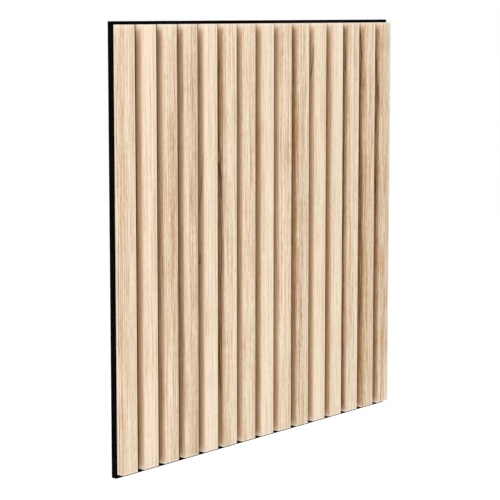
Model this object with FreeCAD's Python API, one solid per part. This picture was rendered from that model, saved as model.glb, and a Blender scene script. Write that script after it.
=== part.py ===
import FreeCAD, Part
import os

# Acoustic slat wall panel: upright oak slats glued side by side to a felt board.
# Sizes in millimetres. X runs along the wall, Y into the wall and Z up, so the slats face -Y.
# The origin is the centre of the felt board's back, the face that lies on the wall.

# Felt board that carries the slats
panelHeight = 600.0
feltThickness = 9.0
feltSideMargin = 2.0
feltTopMargin = 4.5
feltBottomMargin = 5.5

# Row of slats
slatCount = 15
grooveWidth = 11.5

# One slat: a fibreboard core with an oak veneer folded round its front and both sides
coreWidth = 27.5
coreThickness = 10.0
veneerThickness = 0.5
edgeRadius = 1.2

# Sizes that follow from the ones above
slatWidth = coreWidth + 2 * veneerThickness
slatPitch = slatWidth + grooveWidth
rowWidth = slatCount * slatWidth + (slatCount - 1) * grooveWidth
panelWidth = rowWidth + 2 * feltSideMargin
slatBottom = -panelHeight / 2 + feltBottomMargin
slatLength = panelHeight - feltTopMargin - feltBottomMargin
glueFace = -feltThickness


def roundedStrip(centreX, width, thickness, radius):
    """An upright strip on the felt's face, with its two long front edges rounded."""
    corner = FreeCAD.Vector(centreX - width / 2, glueFace - thickness, slatBottom)
    strip = Part.makeBox(width, thickness, slatLength, corner)
    frontEdges = []
    for edge in strip.Edges:
        middle = edge.BoundBox.Center
        runsUp = edge.BoundBox.ZLength > slatLength / 2
        if runsUp and middle.y < glueFace - thickness / 2:
            frontEdges.append(edge)
    return strip.makeFillet(radius, frontEdges)


def slatCore(centreX):
    """The fibreboard bar inside a slat. Its front edges are rounded for the veneer to wrap round."""
    return roundedStrip(centreX, coreWidth, coreThickness, edgeRadius - veneerThickness)


def slatVeneer(centreX):
    """The oak veneer of a slat: one leaf over a side, round the edge, the front and the other side."""
    outside = roundedStrip(centreX, slatWidth, coreThickness + veneerThickness, edgeRadius)
    return outside.cut(slatCore(centreX))


def feltBacking():
    """The pressed felt board, one plain sheet that stands out a little past the slats all round."""
    corner = FreeCAD.Vector(-panelWidth / 2, glueFace, -panelHeight / 2)
    return Part.makeBox(panelWidth, feltThickness, panelHeight, corner)


pieces = {"felt_backing": feltBacking()}
for index in range(slatCount):
    centreX = -rowWidth / 2 + slatWidth / 2 + index * slatPitch
    pieces[f"slat_core_{index + 1:02d}"] = slatCore(centreX)
    pieces[f"slat_veneer_{index + 1:02d}"] = slatVeneer(centreX)

os.makedirs("parts", exist_ok=True)
for name, shape in pieces.items():
    shape.exportStep(f"parts/{name}.step")

solidVolume = sum(shape.Volume for shape in pieces.values()) / 1e9
print(f"{len(pieces)} pieces, {panelWidth:.1f} x {panelHeight:.1f} mm, {solidVolume:.6f} m3 of solid")
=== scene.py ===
import math
import bmesh
import bpy
from mathutils import Matrix, Vector


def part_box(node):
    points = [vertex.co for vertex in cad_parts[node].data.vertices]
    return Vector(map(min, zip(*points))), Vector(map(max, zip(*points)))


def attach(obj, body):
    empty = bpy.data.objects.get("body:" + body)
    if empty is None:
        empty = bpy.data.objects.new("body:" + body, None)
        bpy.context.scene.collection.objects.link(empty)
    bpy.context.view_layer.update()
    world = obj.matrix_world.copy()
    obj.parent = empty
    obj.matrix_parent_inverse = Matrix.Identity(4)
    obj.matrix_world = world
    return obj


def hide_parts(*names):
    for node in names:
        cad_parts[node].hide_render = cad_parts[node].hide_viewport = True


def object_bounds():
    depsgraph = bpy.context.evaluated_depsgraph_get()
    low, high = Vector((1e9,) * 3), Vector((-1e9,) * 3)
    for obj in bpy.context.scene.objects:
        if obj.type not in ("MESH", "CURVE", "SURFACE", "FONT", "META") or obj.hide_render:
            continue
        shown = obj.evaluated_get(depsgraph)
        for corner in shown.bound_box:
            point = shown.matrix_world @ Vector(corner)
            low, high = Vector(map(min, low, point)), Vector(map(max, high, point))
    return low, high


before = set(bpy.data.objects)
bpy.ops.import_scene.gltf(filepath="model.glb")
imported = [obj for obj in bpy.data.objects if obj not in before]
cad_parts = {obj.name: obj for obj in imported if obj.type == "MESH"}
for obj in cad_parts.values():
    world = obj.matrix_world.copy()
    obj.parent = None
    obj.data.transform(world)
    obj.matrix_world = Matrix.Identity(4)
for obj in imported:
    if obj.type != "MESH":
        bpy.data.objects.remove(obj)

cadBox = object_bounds()
mm = 0.001
nodeNames = sorted(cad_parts)
veneerNodes = [name for name in nodeNames if name.startswith("slat_veneer_")]
coreNodes = [name for name in nodeNames if name.startswith("slat_core_")]
print("frame loaded:", len(nodeNames), "nodes")


# Shader maths: a Wire is one output socket, and an expression on wires adds the Math nodes it needs

noiseMiddle = 0.5  # the value that a noise strays about


class Wire:
    def __init__(self, shade, socket):
        self.shade = shade
        self.socket = socket

    def output(self, name):  # another output of the same node
        return Wire(self.shade, self.socket.node.outputs[name])

    def maths(self, operation, *values):
        return self.shade.add("ShaderNodeMath", {"operation": operation}, dict(enumerate(values)))

    def __add__(self, other):
        return self.maths("ADD", self, other)

    def __radd__(self, other):
        return self.maths("ADD", other, self)

    def __sub__(self, other):
        return self.maths("SUBTRACT", self, other)

    def __rsub__(self, other):
        return self.maths("SUBTRACT", other, self)

    def __mul__(self, other):
        return self.maths("MULTIPLY", self, other)

    def __truediv__(self, other):
        return self.maths("DIVIDE", self, other)

    def __pow__(self, other):
        return self.maths("POWER", self, other)

    def squared(self):
        return self * self

    def fraction(self):
        return self.maths("FRACT", self)

    def root(self):
        return self.maths("SQRT", self)

    def larger(self, other):
        return self.maths("MAXIMUM", self, other)

    def ramp(self, low, high):  # 0 at low, 1 at high, smooth between and clamped outside
        settings = {"interpolation_type": "SMOOTHSTEP"}
        return self.shade.add("ShaderNodeMapRange", settings, {0: self, 1: low, 2: high, 3: 0.0, 4: 1.0})

    def band(self, start, full, fade, end):  # rises from start to full and falls from fade to end
        return self.ramp(start, full) * self.ramp(end, fade)


class Shade:
    def __init__(self, owner):  # the nodes belong to a material or a world
        self.owner = owner
        owner.use_nodes = True
        self.tree = owner.node_tree
        self.tree.nodes.clear()

    def add(self, kind, settings=None, inputs=None, output=0):
        node = self.tree.nodes.new(kind)
        for key, value in (settings or {}).items():
            setattr(node, key, value)
        for key, value in (inputs or {}).items():
            if isinstance(value, Wire):
                self.tree.links.new(value.socket, node.inputs[key])
            else:
                node.inputs[key].default_value = value
        return Wire(self, node.outputs[output]) if len(node.outputs) else None

    def objectPoint(self):
        return self.add("ShaderNodeTexCoord", output="Object")

    def point(self, x, y, z=0.0):
        return self.add("ShaderNodeCombineXYZ", None, {0: x, 1: y, 2: z})

    def parts(self, vector):  # the X of a vector, which has Y and Z as its other outputs
        return self.add("ShaderNodeSeparateXYZ", None, {0: vector})

    def noise(self, vector, scale=1.0, detail=2.0, roughness=0.5, distortion=0.0):
        inputs = {"Vector": vector, "Scale": scale, "Detail": detail, "Roughness": roughness,
                  "Distortion": distortion}
        return self.add("ShaderNodeTexNoise", None, inputs)

    def formed(self, form, vector, closeness=1.0):  # noise whose repeats are given per millimetre
        perMm, octaves, roughness, warp = form
        return self.noise(vector, perMm * closeness / mm, octaves, roughness, warp)

    def blend(self, factor, first, second, mode="MIX"):
        settings = {"data_type": "RGBA", "blend_type": mode}
        return self.add("ShaderNodeMix", settings, {0: factor, 6: first, 7: second}, 2)

    def bump(self, height, distance, strength):
        inputs = {"Height": height, "Distance": distance, "Strength": strength}
        return self.add("ShaderNodeBump", None, inputs)

    def seenDirectly(self):  # 1 where the camera, gloss or glass shows it, 0 for the light it gives off
        paths = self.add("ShaderNodeLightPath")
        return paths.larger(paths.output("Is Glossy Ray")).larger(paths.output("Is Transmission Ray"))

    def finish(self, inputs):
        surface = self.add("ShaderNodeBsdfPrincipled", None, inputs)
        self.add("ShaderNodeOutputMaterial", None, {"Surface": surface})
        return self.owner


def linear(red, green, blue):  # a screen colour of 0 to 255 as the linear colour that shaders take
    def channel(value):
        value = value / 255
        return value / 12.92 if value <= 0.04045 else ((value + 0.055) / 1.055) ** 2.4
    return (channel(red), channel(green), channel(blue), 1.0)


# A veneer leaf is laid out flat for its figure: a side, a fold, the front, a fold and the other side

wrap = {
    "edgeRadius": 1.2 * mm,
    "edgeSteps": 8,
    "thickness": 0.5 * mm,
    "arris": 0.08 * mm,
    "arrisSteps": 2,
    "arrisAngle": math.radians(50),
    "smoothAngle": math.radians(35),
    "cutsUp": 24,
    "mergeDistance": 0.001 * mm,
}
veneerLow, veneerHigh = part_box(veneerNodes[0])
quarterRound = wrap["edgeRadius"] * math.pi / 2

# Sizes of the flat leaf, in millimetres: from its edge to the middle of a fold, and then to the next fold
leafFold = (veneerHigh.y - veneerLow.y - wrap["edgeRadius"] + quarterRound / 2) / mm
leafFront = (veneerHigh.x - veneerLow.x - 2 * wrap["edgeRadius"] + quarterRound) / mm
leafMiddle = leafFold + leafFront / 2
leafHalfHeight = (veneerHigh.z - veneerLow.z) / 2 / mm


# Oak veneer: growth rings cut by the knife, pores in the early wood, fine fibre and broad colour bands, and
# the colours of painted highlights, painted light and painted shade at the folds, ends and grooves

oak = {
    "cream": linear(250, 236, 214),
    "rose": linear(246, 221, 201),
    "straw": linear(242, 227, 196),
    "tint": 0.75,
    "tan": linear(186, 146, 102),
    "pore": linear(142, 108, 74),
    "poreTone": 0.50,
    # heartwood streaks, which also serve as painted shade in the grooves
    "heartAndShade": linear(138, 105, 72),
    "knot": linear(112, 85, 56),
    # painted highlight beside the right fold
    "edge": linear(255, 238, 215),
    # pale colour of the painted highlights and painted light
    "paintedLight": linear(246, 237, 222),
    # painted shade on the sides that stand in a groove
    "wall": (1.0, 0.87, 0.735, 1.0),
    # painted shade on the left fold, where it turns into the groove
    "leftFoldShade": (0.82, 0.74, 0.66, 1.0),
    # painted shade on the right fold, where it turns into the groove
    "rightFoldShade": (0.96, 0.75, 0.55, 1.0),
    "roughness": 0.55,
    "poreRoughness": 0.20,
    "fibreRoughness": 0.07,
    "specular": 0.30,
    "fibreRelief": 0.2,
    "reliefDepth": 0.06 * mm,
    "reliefStrength": 0.6,
}

# The looks of oak leaves. Tone is how dark a leaf is and streak how strongly it is figured. The log's pith
# lies aside and behind, in millimetres, and slope is how fast the grain runs out. A dip is a dark band at
# a place from 0 to 1 across the front, or a pale band where its depth is below 0. Side is how strongly
# heartwood streaks and painted groove shade mark the sides, and edge how strong the painted highlight is
# beside the right fold. Belly is how much darker the leaf is halfway up than at its ends. Below the palest
# tone, streaks level off.
leafKinds = {
    "plain": {"tone": 0.15, "streak": 0.66, "aside": 120.0, "behind": 60.0, "slope": 0.002, "dip": 0.84,
              "dipDepth": 0.12, "side": 0.37, "edge": 0.40, "belly": 0.06, "palest": 0.04},
    "mild": {"tone": 0.24, "streak": 0.98, "aside": 75.0, "behind": 40.0, "slope": 0.004, "dip": 0.18,
             "dipDepth": 0.16, "side": 0.50, "edge": 0.32, "belly": 0.0, "palest": 0.08},
    "fading": {"tone": 0.41, "streak": 0.98, "aside": 34.0, "behind": 26.0, "slope": 0.006, "dip": 0.66,
               "dipDepth": 0.05, "side": 0.54, "edge": 0.25, "belly": 0.17, "palest": 0.18},
    "deep": {"tone": 0.48, "streak": 1.18, "aside": -40.0, "behind": 35.0, "slope": 0.006, "dip": 0.94,
             "dipDepth": -0.20, "side": 0.54, "edge": 0.14, "belly": 0.32, "palest": 0.26},
}

# The leaf on each slat from the left: its look, how much darker than usual it is, how much darker its
# right side is than its left one and how much darker its top is than its bottom
slatLeaves = [
    ("plain", 0.15, -0.26, 0.10),
    ("plain", -0.02, 0.12, 0.0),
    ("fading", -0.01, 0.37, -0.10),
    ("fading", 0.04, 0.38, -0.20),
    ("plain", -0.04, 0.06, 0.10),
    ("mild", 0.01, -0.12, 0.0),
    ("mild", -0.01, 0.38, 0.05),
    ("plain", -0.05, -0.26, 0.05),
    ("mild", 0.0, 0.40, 0.10),
    ("deep", -0.10, -0.28, -0.05),
    ("plain", -0.05, 0.10, 0.05),
    ("plain", -0.04, -0.44, 0.0),
    ("mild", -0.02, -0.12, 0.20),
    ("deep", -0.05, -0.45, -0.35),
    ("deep", -0.01, -0.10, 0.05),
]

# Patterns stretched along the grain: repeats per millimetre across and along it, finer octaves, and the
# plane of the noise that the pattern is read in
patterns = {
    "wander": (0.012, 0.0042, 2.0, 0.0),
    "ringDrift": (0.11, 0.0011, 2.0, 0.0),
    "pores": (3.0, 0.12, 1.0, 0.0),
    "hue": (0.16, 0.0110, 1.5, 15.0),
    "heartAndShade": (0.42, 0.0065, 2.5, 31.0),
    "knotWobble": (0.05, 0.045, 2.0, 47.0),
}

# Each leaf starts at a place of its own in the patterns, across them by so many repeats of the noise and
# along them by so many millimetres
leafStart = {
    "across": 97.0,
    "acrossStep": 0.618,  # each leaf steps on by this share of it
    "heartEach": 53.0,  # for the heartwood, across too
    "along": 900.0,
    "alongStep": 0.382,
    "alongEach": 700.0,
}

# Painted light towards the slat's ends, where the grooves open and the cut ends catch the light, and along
# the first slat's rim at the felt. The ends are found by the squared height on the leaf, which is 1 at an
# end
leafEnds = {
    "side": (0.93, 1.0),
    # how strongly painted light pales the groove sides at the ends
    "sideEndLight": 0.42,
    "loss": 0.7,  # how much of the heartwood streaks and of the painted groove shade is gone there
    # painted highlight on the cut ends
    "endHighlight": (0.972, 0.996),
    "endHighlightTone": 0.40,
    "feltRimLight": (3.6, 2.8),  # painted light along the first slat's left side: millimetres across it, from the felt
    "feltRimLightTone": 0.60,
}


class FlatLeaf:  # where a point lies on the flat leaf of one slat, in millimetres and in shares of its size
    def __init__(self, shade, index, look):
        self.shade = shade
        self.look = look
        self.number = index + 1
        self.isFirst = index == 0
        self.isLast = index == len(veneerNodes) - 1
        flat = shade.parts(shade.add("ShaderNodeUVMap", {"uv_map": "leaf"}))
        self.across = flat / mm
        self.along = flat.output("Y") / mm
        self.shift = leafStart["across"] * (index * leafStart["acrossStep"] % 1.0)
        self.heartShift = leafStart["heartEach"] * index
        shiftAlong = leafStart["along"] * (index * leafStart["alongStep"] % 1.0)
        self.row = self.along + (shiftAlong + leafStart["alongEach"] * index)
        self.front = (self.across - leafFold) / leafFront
        self.height = self.along / leafHalfHeight
        self.ends = self.height.squared().ramp(*leafEnds["side"])

    def read(self, pattern, place, shift, plane=0.0, roughness=0.5):
        perAcross, perAlong, octaves, ownPlane = pattern
        spot = self.shade.point(place * perAcross + shift, self.row * perAlong, plane + ownPlane)
        return self.shade.noise(spot, detail=octaves, roughness=roughness)

    def inGrooves(self, left, right):  # what counts on a side only where that side stands in a groove
        return left * float(not self.isFirst) + right * float(not self.isLast)


# Growth rings, with lengths in millimetres
rings = {
    "spacing": 4.6,
    "wander": 2.4,  # how far the grain line strays to the side
    "drift": 5.0,  # by how many rings their spacing drifts
    "leafLean": 2.0,  # the leaf leans out of the log by so many times the slope of its grain
    "earlyEnd": 2.2,  # how fast the early wood of a ring ends
    "earlyMean": 0.3,
    "earlyTone": 0.28,
    "latePores": 0.20,  # how much of the pores is left in late wood
}

# Layers of the figure, from broad bands to fine lines: a pattern's four values, and how strongly it darkens
figure = {
    "bands": (0.09, 0.0018, 1.0, 0.0, 0.30),
    "streaks": (0.38, 0.0030, 1.0, 7.0, 1.50),
    "fibre": (0.75, 0.0150, 3.0, 14.0, 2.60),
    "flecks": (0.60, 0.0900, 2.0, 21.0, 1.15),
    "lines": (1.20, 0.0080, 2.0, 28.0, 1.00),
}
figureRoughness = 0.6

# How the patterns become tone
tones = {
    "pores": (0.58, 0.67),  # noise values between which the pores come in
    "hue": (0.30, 0.70),
    "dipWidth": 0.012,  # squared distance across the front over which a dip fades
    "bellyEven": 0.33,  # squared height at which a belly changes nothing
    "paleStreaks": 0.4,  # how much is left of a streak below the palest tone
}


def oakFigure(leaf, darker, lean, rise):
    shade = leaf.shade
    look = leaf.look

    # The grain line wanders a little to the side as it runs up the slat
    wander = leaf.read(patterns["wander"], leaf.across, leaf.shift) - noiseMiddle
    line = leaf.across + wander * rings["wander"] + leaf.along * look["slope"]

    # Distance from the pith gives the rings; the leaf isn't quite parallel to the log
    behind = look["behind"] + leaf.along * (look["slope"] * rings["leafLean"])
    aside = line + look["aside"] - leafMiddle
    radius = (aside.squared() + behind.squared()).root()
    drift = leaf.read(patterns["ringDrift"], radius, 0.0, leaf.shift)
    phase = (radius / rings["spacing"] + drift * rings["drift"]).fraction()
    early = (1.0 - phase) ** rings["earlyEnd"]

    # Pores are short dark dashes, thickest in the early wood
    pores = leaf.read(patterns["pores"], line, leaf.shift).ramp(*tones["pores"])
    pores = pores * (rings["latePores"] + early * (1.0 - rings["latePores"]))

    # The layers and the rings give the figure its tone
    layers = {}
    for layer, (*pattern, strength) in figure.items():
        grain = leaf.read(pattern, line, leaf.shift, roughness=figureRoughness)
        layers[layer] = (grain - noiseMiddle) * strength
    tone = sum(layers.values()) + (early - rings["earlyMean"]) * rings["earlyTone"]
    dip = 1.0 - (leaf.front - look["dip"]).squared().ramp(0.0, tones["dipWidth"])
    tone = tone * look["streak"] + (look["tone"] + darker) + dip * look["dipDepth"]
    tone = tone + (leaf.front - 0.5) * lean + leaf.height * (rise / 2)
    tone = tone + (tones["bellyEven"] - leaf.height.squared()) * look["belly"]
    tone = tone.larger(tone * tones["paleStreaks"] + look["palest"] * (1.0 - tones["paleStreaks"]))

    hue = leaf.read(patterns["hue"], line, -leaf.shift).ramp(*tones["hue"])
    ground = shade.blend(oak["tint"], oak["cream"], shade.blend(hue, oak["rose"], oak["straw"]))
    wood = shade.blend(tone, ground, oak["tan"])
    wood = shade.blend(pores * (oak["poreTone"] * look["streak"]), wood, oak["pore"])
    return wood, pores, layers["fibre"]


# Bands of painted highlight and painted shade across the leaf, where 0 is the middle of the left fold and 1
# is the middle of the right one
foldBands = {
    # painted highlight on the front beside the right fold
    "paintedHighlight": (0.90, 0.95, 1.03, 1.08),
    # painted shade on the left fold
    "leftFoldShade": (-0.08, -0.02, 0.0, 0.11),
    # painted shade on the right fold
    "rightFoldShade": (0.953, 0.985, 1.03, 1.07),
    "leftSide": (0.02, -0.06),
    "rightSide": (0.98, 1.06),
    "paintedLight": (0.84, 1.0, 1.05, 1.14),  # painted highlight on the last slat's right edge
    "lastEdgeHighlight": 0.80,
    "freeFoldShade": 0.90,  # share of the painted shade on the first slat's left fold, which stands free
}


def paintFoldHighlightAndShade(leaf, wood):  # a painted highlight on the front beside its right fold, and painted shade on both folds
    shade = leaf.shade
    paintedHighlight = leaf.front.band(*foldBands["paintedHighlight"]) * leaf.look["edge"]
    rightFoldShade = leaf.front.band(*foldBands["rightFoldShade"])
    leftFoldShade = leaf.front.band(*foldBands["leftFoldShade"])
    if leaf.isFirst:
        leftFoldShade = leftFoldShade * foldBands["freeFoldShade"]
    wood = shade.blend(paintedHighlight, wood, oak["edge"])
    wood = shade.blend(rightFoldShade, wood, oak["rightFoldShade"], "MULTIPLY")
    return shade.blend(leftFoldShade, wood, oak["leftFoldShade"], "MULTIPLY")


# Heartwood: brown streaks on the slats' sides, laid only in the grooves and strongest partway down, so that
# they are partly painted shade
heartwoodAndGrooveShade = {
    "edge": (0.38, 0.66),  # noise values between which it comes in
    "lean": 0.012,  # how fast it strays to the side as it runs up
    "strength": 1.25,
    "loss": 0.8,  # how much of that strength is gone at the felt
}


def addHeartwoodAndGrooveShade(leaf, wood):  # the streaks are partly painted shade: only in the grooves, strongest halfway down to the felt, and weaker at the ends where the grooves open
    leftDepth = leaf.across.ramp(leafFold, 0.0)
    rightDepth = leaf.across.ramp(leafFold + leafFront, leafFold * 2 + leafFront)
    depth = leaf.inGrooves(leftDepth, rightDepth)
    heartAndShade = leaf.read(patterns["heartAndShade"], leaf.across, leaf.along * heartwoodAndGrooveShade["lean"] + leaf.heartShift)
    strength = depth.root() * (heartwoodAndGrooveShade["strength"] - depth * heartwoodAndGrooveShade["loss"])
    strength = strength * (1.0 - leaf.ends * leafEnds["loss"]) * leaf.look["side"]
    return leaf.shade.blend(heartAndShade.ramp(*heartwoodAndGrooveShade["edge"]) * strength, wood, oak["heartAndShade"])


# Dark streaks where a leaf cuts the wood round a knot, by the slat's number from the left: half a width
# and a depth, and the points that the streak runs down through, each so far across the flat leaf and so
# high above the panel's middle. Lengths are in millimetres.
knotStreaks = {
    1: [(0.7, 0.45, [(3.7, 292.0), (3.9, 150.0), (6.6, 50.0), (4.9, 0.0), (4.4, -292.0)])],
    5: [(1.5, 0.42, [(8.5, 118.0), (8.0, 96.0), (3.5, 60.0), (2.5, 30.0)]),
        (1.6, 0.55, [(3.2, -18.0), (1.8, -32.0)])],
    6: [(1.9, 0.62, [(1.5, 240.0), (1.5, 158.0), (2.5, 128.0), (6.0, 112.0), (4.0, 101.0), (6.5, 80.0),
                     (6.0, 56.0)]),
        (3.2, 0.54, [(2.5, 104.0), (5.0, 60.0), (6.6, 20.0), (6.6, -60.0), (5.0, -130.0), (2.0, -210.0)])],
    11: [(1.6, 0.40, [(9.0, 262.0), (7.5, 240.0), (3.0, 215.0)])],
    13: [(3.0, 0.52, [(1.5, 292.0), (2.5, 120.0), (2.0, -90.0), (3.0, -292.0)]),
         (1.1, 0.60, [(5.5, 262.0), (6.8, 240.0), (5.5, 224.0)]),
         (0.7, 0.45, [(18.4, 260.0), (18.6, 248.0)]),
         (1.3, 0.50, [(0.5, 48.0), (2.0, 38.0), (5.0, 26.0), (6.0, 10.0)])],
    14: [(4.5, 0.34, [(3.0, 120.0), (4.5, 20.0), (5.0, -60.0), (4.0, -160.0)]),
         (1.6, 0.60, [(2.5, 280.0), (5.0, 250.0), (4.0, 215.0), (3.0, 170.0)])],
    15: [(1.7, 0.55, [(2.0, 270.0), (4.0, 220.0), (7.5, 195.0), (6.0, 165.0), (3.0, 130.0)]),
         (1.4, 0.45, [(3.0, 60.0), (6.0, 20.0), (4.0, -20.0)])],
}
streakForm = {
    "wobble": 3.0,  # millimetres to the side
    "fibre": 1.4,  # how much the fibre breaks a streak up
    "aside": (1.8, 0.1),  # squared distance from its line, in half widths, over which it comes in
    "run": (-0.15, 0.1, 0.9, 1.15),  # band that each of its runs fills, 0 at the top and 1 at the bottom
}


def addKnots(leaf, wood, fibre):
    if leaf.number not in knotStreaks:
        return wood
    wobble = (leaf.read(patterns["knotWobble"], leaf.across, 0.0) - noiseMiddle) * streakForm["wobble"]
    for halfWidth, depth, path in knotStreaks[leaf.number]:
        for (acrossTop, top), (acrossBottom, bottom) in zip(path, path[1:]):
            down = (top - leaf.along) / (top - bottom)
            aside = (leaf.across + wobble - acrossTop - down * (acrossBottom - acrossTop)) / halfWidth
            streak = aside.squared().ramp(*streakForm["aside"]) * down.band(*streakForm["run"])
            wood = leaf.shade.blend(streak * (fibre * streakForm["fibre"] + depth), wood, oak["knot"])
    return wood


def paintGrooveShadeAndEndLight(leaf, wood):  # painted shade on the sides that stand in a groove, and painted light on them towards the slat's ends, where the grooves open
    shade = leaf.shade
    side = leaf.inGrooves(leaf.front.ramp(*foldBands["leftSide"]), leaf.front.ramp(*foldBands["rightSide"]))
    # painted light on the groove sides towards the ends
    wood = shade.blend(leaf.ends * side * leafEnds["sideEndLight"], wood, oak["paintedLight"])
    # painted shade on the sides that stand in a groove
    return shade.blend(side * (1.0 - leaf.ends * leafEnds["loss"]), wood, oak["wall"], "MULTIPLY")


def paintRimLight(leaf, wood):  # painted highlights on the last slat's right edge and the slats' cut ends, and painted light on the first slat's rim along the felt
    shade = leaf.shade
    if leaf.isLast:
        paintedLight = leaf.front.band(*foldBands["paintedLight"]) * foldBands["lastEdgeHighlight"]
        wood = shade.blend(paintedLight, wood, oak["paintedLight"])
    # painted highlight on the cut ends
    endHighlight = leaf.height.squared().ramp(*leafEnds["endHighlight"])
    wood = shade.blend(endHighlight * leafEnds["endHighlightTone"], wood, oak["paintedLight"])
    if leaf.isFirst:
        # painted light on the first slat's free side along the felt
        feltRimLight = leaf.across.ramp(*leafEnds["feltRimLight"])
        wood = shade.blend(feltRimLight * leafEnds["feltRimLightTone"], wood, oak["paintedLight"])
    return wood


def makeOak(index, look, darker, lean, rise):
    shade = Shade(bpy.data.materials.new(f"oak leaf {index + 1:02d}"))
    leaf = FlatLeaf(shade, index, look)
    wood, pores, fibre = oakFigure(leaf, darker, lean, rise)
    wood = paintFoldHighlightAndShade(leaf, wood)
    wood = addHeartwoodAndGrooveShade(leaf, wood)
    wood = addKnots(leaf, wood, fibre)
    wood = paintGrooveShadeAndEndLight(leaf, wood)
    wood = paintRimLight(leaf, wood)
    relief = fibre * oak["fibreRelief"] - pores
    return shade.finish({
        "Base Color": wood,
        "Roughness": oak["roughness"] + pores * oak["poreRoughness"] + fibre * oak["fibreRoughness"],
        "Normal": shade.bump(relief, oak["reliefDepth"], oak["reliefStrength"]),
        "Specular IOR Level": oak["specular"],
    })


# Fibreboard of the cores: brown, with fine fibres and darker specks where the saw opened it. A noise is
# given by its repeats per millimetre, octaves, roughness and warp, and an edge by the values between which
# it comes in

fibreboard = {
    "light": linear(178, 146, 110),
    "dark": linear(140, 106, 74),
    "speck": linear(92, 66, 44),
    "fibre": (1.6, 4.0, 0.65, 0.6),
    "fibreEdge": (0.3, 0.7),
    "cloud": (0.12, 2.0, 0.5, 0.0),
    "cloudTone": 0.25,
    "specks": (2.6, 1.0, 0.5, 0.0),
    "speckEdge": (0.66, 0.74),
    "speckTone": 0.7,
    "roughness": 0.85,
    "fibreRoughness": 0.1,
    "specular": 0.2,
    "reliefDepth": 0.08 * mm,
    "reliefStrength": 0.7,
}


def makeFibreboard():
    shade = Shade(bpy.data.materials.new("fibreboard"))
    place = shade.objectPoint()
    fibre = shade.formed(fibreboard["fibre"], place)
    cloud = shade.formed(fibreboard["cloud"], place)
    specks = shade.formed(fibreboard["specks"], place).ramp(*fibreboard["speckEdge"])
    fibreTone = 1.0 - fibreboard["cloudTone"]
    tone = fibre.ramp(*fibreboard["fibreEdge"]) * fibreTone + cloud * fibreboard["cloudTone"]
    colour = shade.blend(tone, fibreboard["dark"], fibreboard["light"])
    colour = shade.blend(specks * fibreboard["speckTone"], colour, fibreboard["speck"])
    return shade.finish({
        "Base Color": colour,
        "Roughness": fibreboard["roughness"] + fibre * fibreboard["fibreRoughness"],
        "Normal": shade.bump(fibre - specks, fibreboard["reliefDepth"], fibreboard["reliefStrength"]),
        "Specular IOR Level": fibreboard["specular"],
    })


# Black pressed felt: a mat of fine crossing fibres, a few of them paler, and a woollier skin on its back.
# Noises and edges are given as for the fibreboard

felt = {
    "black": linear(1, 1, 2),
    "charcoal": linear(9, 9, 10),
    "hair": linear(60, 60, 64),
    "tuft": linear(33, 33, 36),
    "wool": linear(56, 56, 59),
    "cloud": (0.10, 3.0, 0.6, 0.0),
    "cloudEdge": (0.3, 0.7),
    "cloudTone": 0.5,
    "mat": (2.2, 3.0, 0.7, 1.2),
    "hairs": (0.55, 1.0, 0.5, 2.0),
    "hairWidth": 0.012,
    "hairEdge": (0.2, 1.6),
    "hairTone": 0.22,
    "tufts": (0.42, 2.0, 0.6, 1.5),
    "tuftEdge": (0.62, 0.80),
    "fleece": (0.22, 4.0, 0.7, 2.0),
    "fleeceEdge": (0.35, 0.75),
    "fleeceTone": 0.55,
    "fleeceClouds": 0.6,
    "fleeceDepth": (-0.9 * mm, -0.3 * mm),  # how far in front of the back the skin starts and is whole
    "roughness": 0.95,
    "specular": 0.01,
    "hairRelief": 0.5,
    "reliefDepth": 0.15 * mm,
    "reliefStrength": 0.7,
}

# Layers of hairs that cross each other: how far each is turned, in radians, and how closely its hairs lie
feltHairs = [(0.4, 1.0), (1.3, 0.8), (2.3, 1.2)]


def makeFelt():
    shade = Shade(bpy.data.materials.new("black felt"))
    place = shade.objectPoint()
    cloud = shade.formed(felt["cloud"], place)
    mat = shade.formed(felt["mat"], place)
    tone = cloud.ramp(*felt["cloudEdge"]) * felt["cloudTone"] + mat * (1.0 - felt["cloudTone"])
    colour = shade.blend(tone, felt["black"], felt["charcoal"])

    # A hair lies wherever the noise of its layer crosses the middle value
    hairs = 0.0
    for turn, closeness in feltHairs:
        turned = shade.add("ShaderNodeMapping", None, {"Vector": place, "Rotation": (turn, turn / 2, turn)})
        offHair = shade.formed(felt["hairs"], turned, closeness) - noiseMiddle
        hairs = hairs + (1.0 - offHair.squared().root().ramp(0.0, felt["hairWidth"]))
    hairs = hairs.ramp(*felt["hairEdge"])
    colour = shade.blend(hairs * felt["hairTone"], colour, felt["hair"])
    tufts = shade.formed(felt["tufts"], place)
    colour = shade.blend(tufts.ramp(*felt["tuftEdge"]), colour, felt["tuft"])

    # The back keeps its woolly skin, so paler fibres lie open on it
    onBack = shade.parts(place).output("Y").ramp(*felt["fleeceDepth"])
    fleece = shade.formed(felt["fleece"], place).ramp(*felt["fleeceEdge"])
    fleece = fleece * (felt["fleeceTone"] + cloud * felt["fleeceClouds"]) * onBack
    colour = shade.blend(fleece, colour, felt["wool"])
    return shade.finish({
        "Base Color": colour,
        "Roughness": felt["roughness"],
        "Normal": shade.bump(mat + hairs * felt["hairRelief"], felt["reliefDepth"], felt["reliefStrength"]),
        "Specular IOR Level": felt["specular"],
    })


# Modelling helpers

mostly = 0.5  # a face looks a given way where its normal has more than this share of it


def deselect():
    if bpy.context.object and bpy.context.object.mode != "OBJECT":
        bpy.ops.object.mode_set(mode="OBJECT")
    bpy.ops.object.select_all(action="DESELECT")


def cubeIn(low, high, name):
    deselect()
    bpy.ops.mesh.primitive_cube_add(size=1, location=(low + high) / 2, scale=high - low)
    bpy.ops.object.transform_apply(location=True, rotation=True, scale=True)
    piece = bpy.context.object
    piece.name = name
    piece.data.name = name
    return piece


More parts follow.
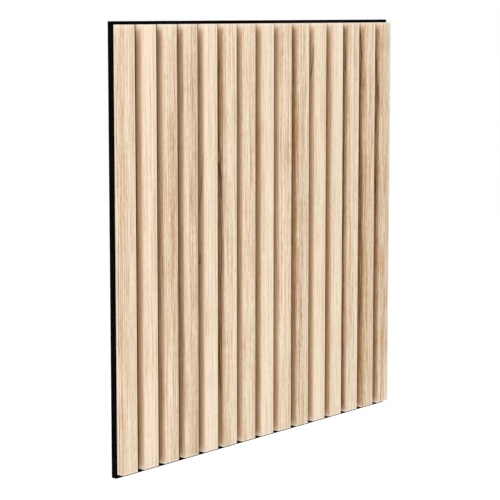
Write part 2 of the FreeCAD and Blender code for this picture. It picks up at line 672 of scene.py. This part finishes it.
def pickFaces(piece, wanted):
    bpy.ops.mesh.select_mode(type="FACE")
    bpy.ops.mesh.select_all(action="DESELECT")
    mesh = bmesh.from_edit_mesh(piece.data)
    for face in mesh.faces:
        face.select_set(wanted(face))
    bmesh.update_edit_mesh(piece.data)


def pickEdges(piece, wanted):
    bpy.ops.mesh.select_mode(type="EDGE")
    bpy.ops.mesh.select_all(action="DESELECT")
    mesh = bmesh.from_edit_mesh(piece.data)
    for edge in mesh.edges:
        edge.select_set(wanted(edge))
    bmesh.update_edit_mesh(piece.data)


def runsAlong(edge, axis, atLeast):
    return abs(edge.verts[0].co[axis] - edge.verts[1].co[axis]) > atLeast


def applyModifier(piece, kind, settings):
    modifier = piece.modifiers.new(kind.lower(), kind)
    for key, value in settings.items():
        setattr(modifier, key, value)
    bpy.context.view_layer.objects.active = piece
    bpy.ops.object.modifier_apply(modifier=modifier.name)


def dress(piece, material):
    piece.data.materials.clear()
    piece.data.materials.append(material)


# One veneer leaf, folded round a slat's front and sides

def unrolled(point, low, high):  # how far across the flat leaf a point lay before it was folded
    radius = wrap["edgeRadius"]
    centre = (low.x + high.x) / 2
    halfFlat = (high.x - low.x) / 2 - radius
    aside = abs(point.x - centre)
    if aside <= halfFlat:
        run = aside
    elif point.y < low.y + radius:
        turn = math.atan2(aside - halfFlat, low.y + radius - point.y)
        run = halfFlat + radius * turn
    else:
        run = halfFlat + quarterRound + point.y - low.y - radius
    middle = halfFlat + quarterRound + high.y - low.y - radius
    return middle + math.copysign(run, point.x - centre)


def modelWrap(name, node):
    low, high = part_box(node)
    piece = cubeIn(low, high, name)
    bpy.ops.object.mode_set(mode="EDIT")

    # The back and the two ends are left open, and the long front edges are rounded
    pickFaces(piece, lambda face: face.normal.y > mostly or abs(face.normal.z) > mostly)
    bpy.ops.mesh.delete(type="ONLY_FACE")
    pickEdges(piece, lambda edge: runsAlong(edge, 2, mm) and edge.verts[0].co.y < low.y + mm)
    bpy.ops.mesh.bevel(offset=wrap["edgeRadius"], segments=wrap["edgeSteps"], profile=0.5, affect="EDGES")
    pickEdges(piece, lambda edge: runsAlong(edge, 2, mm))
    bpy.ops.mesh.subdivide(number_cuts=wrap["cutsUp"])
    bpy.ops.mesh.select_all(action="SELECT")
    bpy.ops.mesh.remove_doubles(threshold=wrap["mergeDistance"])
    bpy.ops.mesh.delete_loose()
    bpy.ops.object.mode_set(mode="OBJECT")

    # The flat leaf's own UV map is in metres, so that the figure runs on round the folds at its real size
    while piece.data.uv_layers:
        piece.data.uv_layers.remove(piece.data.uv_layers[0])
    layer = piece.data.uv_layers.new(name="leaf")
    for loop in piece.data.loops:
        point = piece.data.vertices[loop.vertex_index].co
        layer.data[loop.index].uv = (unrolled(point, low, high), point.z)
    applyModifier(piece, "SOLIDIFY", {"thickness": wrap["thickness"], "offset": -1.0,
                                      "use_even_offset": True})
    applyModifier(piece, "BEVEL", {"width": wrap["arris"], "segments": wrap["arrisSteps"],
                                   "limit_method": "ANGLE", "angle_limit": wrap["arrisAngle"]})
    bpy.ops.object.shade_smooth_by_angle(angle=wrap["smoothAngle"])
    return piece


firstLeaf = modelWrap("oak_leaf_01", veneerNodes[0])
for index, node in enumerate(veneerNodes):
    leafPiece = firstLeaf
    if index > 0:
        leafPiece = firstLeaf.copy()
        leafPiece.data = firstLeaf.data.copy()
        leafPiece.name = f"oak_leaf_{index + 1:02d}"
        leafPiece.data.name = leafPiece.name
        bpy.context.scene.collection.objects.link(leafPiece)
        low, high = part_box(node)
        leafPiece.data.transform(Matrix.Translation(low - veneerLow))
    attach(leafPiece, "root")
    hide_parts(node)
    kind, darker, lean, rise = slatLeaves[index]
    dress(leafPiece, makeOak(index, leafKinds[kind], darker, lean, rise))
print("oak leaves modelled:", len(veneerNodes))

boardMaterial = makeFibreboard()
for node in coreNodes:
    dress(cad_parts[node], boardMaterial)
print("cores finished:", len(coreNodes))


# The felt board: a flat pad with soft cut edges and a slightly uneven face

pad = {
    "edgeRadius": 0.7 * mm,
    "edgeSteps": 3,
    "cell": 6.0 * mm,
    "dip": 0.12 * mm,
    "dipSize": 14.0 * mm,
    "smoothAngle": math.radians(40),
}


def modelFelt(name, node):
    low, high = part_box(node)
    piece = cubeIn(low, high, name)
    bpy.ops.object.mode_set(mode="EDIT")
    bpy.ops.mesh.select_all(action="SELECT")
    bpy.ops.mesh.bevel(offset=pad["edgeRadius"], segments=pad["edgeSteps"], profile=0.5, affect="EDGES")
    for axis in (0, 2):
        span = high[axis] - low[axis]
        cuts = round(span / pad["cell"]) - 1
        pickEdges(piece, lambda edge: runsAlong(edge, axis, span / 2))
        bpy.ops.mesh.subdivide(number_cuts=cuts)
    bpy.ops.object.mode_set(mode="OBJECT")
    cloud = bpy.data.textures.new("felt cloud", "CLOUDS")
    cloud.noise_scale = pad["dipSize"]
    applyModifier(piece, "DISPLACE", {"texture": cloud, "strength": pad["dip"], "mid_level": 1.0,
                                      "direction": "NORMAL", "texture_coords": "LOCAL"})
    bpy.ops.object.shade_smooth_by_angle(angle=pad["smoothAngle"])
    return piece


feltBoard = modelFelt("felt_board", "felt_backing")
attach(feltBoard, "root")
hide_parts("felt_backing")
dress(feltBoard, makeFelt())
print("felt board modelled:", len(feltBoard.data.polygons), "faces")


# Studio: a pale floor below the panel, a white surround, a soft key lamp from the front left and another
# soft lamp high on the left, almost in the panel's plane, which lights the slats' left sides and tops

studio = {
    "floorDrop": 0.35,
    "floorSize": 60.0,
    "floorColour": (0.82, 0.82, 0.82, 1.0),
    "floorGlow": 0.39,
    "white": (1.0, 1.0, 1.0, 1.0),
    "surround": 0.75,
    "keyFrom": Vector((-2.0, -3.3, 1.0)),
    "keySize": 2.4,
    "keyWatts": 38.0,
    "topFrom": Vector((-2.45, -0.30, 2.35)),
    "topSize": 2.2,
    "topWatts": 50.0,
}


def makeLamp(name, place, size, watts):  # a square lamp that looks at the middle of the panel
    lamp = bpy.data.lights.new(name, "AREA")
    lamp.shape = "SQUARE"
    lamp.size = size
    lamp.energy = watts
    holder = bpy.data.objects.new(name, lamp)
    holder.location = place
    holder.rotation_euler = (-place).to_track_quat("-Z", "Y").to_euler()
    bpy.context.scene.collection.objects.link(holder)


def makeFloor():  # pale, with a glow that only shows when it is looked at and makes it white
    deselect()
    height = cadBox[0].z - studio["floorDrop"]
    bpy.ops.mesh.primitive_plane_add(size=studio["floorSize"], location=(0, 0, height))
    floor = bpy.context.object
    floor.name = "floor"
    shade = Shade(bpy.data.materials.new("pale floor"))
    glow = shade.seenDirectly() * studio["floorGlow"]
    lit = shade.add("ShaderNodeBsdfDiffuse", None, {"Color": studio["floorColour"]})
    shine = shade.add("ShaderNodeEmission", None, {"Color": studio["white"], "Strength": glow})
    surface = shade.add("ShaderNodeAddShader", None, {0: lit, 1: shine})
    shade.add("ShaderNodeOutputMaterial", None, {"Surface": surface})
    dress(floor, shade.owner)


def makeSurround():  # gives soft light from all round, and is white when it is looked at
    shade = Shade(bpy.data.worlds.new("surround"))
    strength = studio["surround"] + shade.seenDirectly() * (1.0 - studio["surround"])
    background = shade.add("ShaderNodeBackground", None, {"Color": studio["white"], "Strength": strength})
    shade.add("ShaderNodeOutputWorld", None, {"Surface": background})
    bpy.context.scene.world = shade.owner


makeFloor()
makeSurround()
makeLamp("key", studio["keyFrom"], studio["keySize"], studio["keyWatts"])
makeLamp("top", studio["topFrom"], studio["topSize"], studio["topWatts"])
bpy.context.scene.view_settings.view_transform = "Standard"
print("studio set")


# Camera: to the left of the panel at its top edge, looking slightly down

view = {
    "place": Vector((-1.8553, -1.5803, 0.3129)),
    "turn": 49.34,
    "tilt": 6.45,
    "lens": 123.58,
    "sensor": 36.0,
    "shift": -0.09,
}

eye = bpy.data.cameras.new("camera")
eye.lens = view["lens"]
eye.sensor_width = view["sensor"]
eye.shift_y = view["shift"]
cameraObject = bpy.data.objects.new("camera", eye)
cameraObject.location = view["place"]
cameraObject.rotation_euler = (math.radians(90 - view["tilt"]), 0.0, math.radians(-view["turn"]))
bpy.context.scene.collection.objects.link(cameraObject)
bpy.context.scene.camera = cameraObject
print("camera placed")
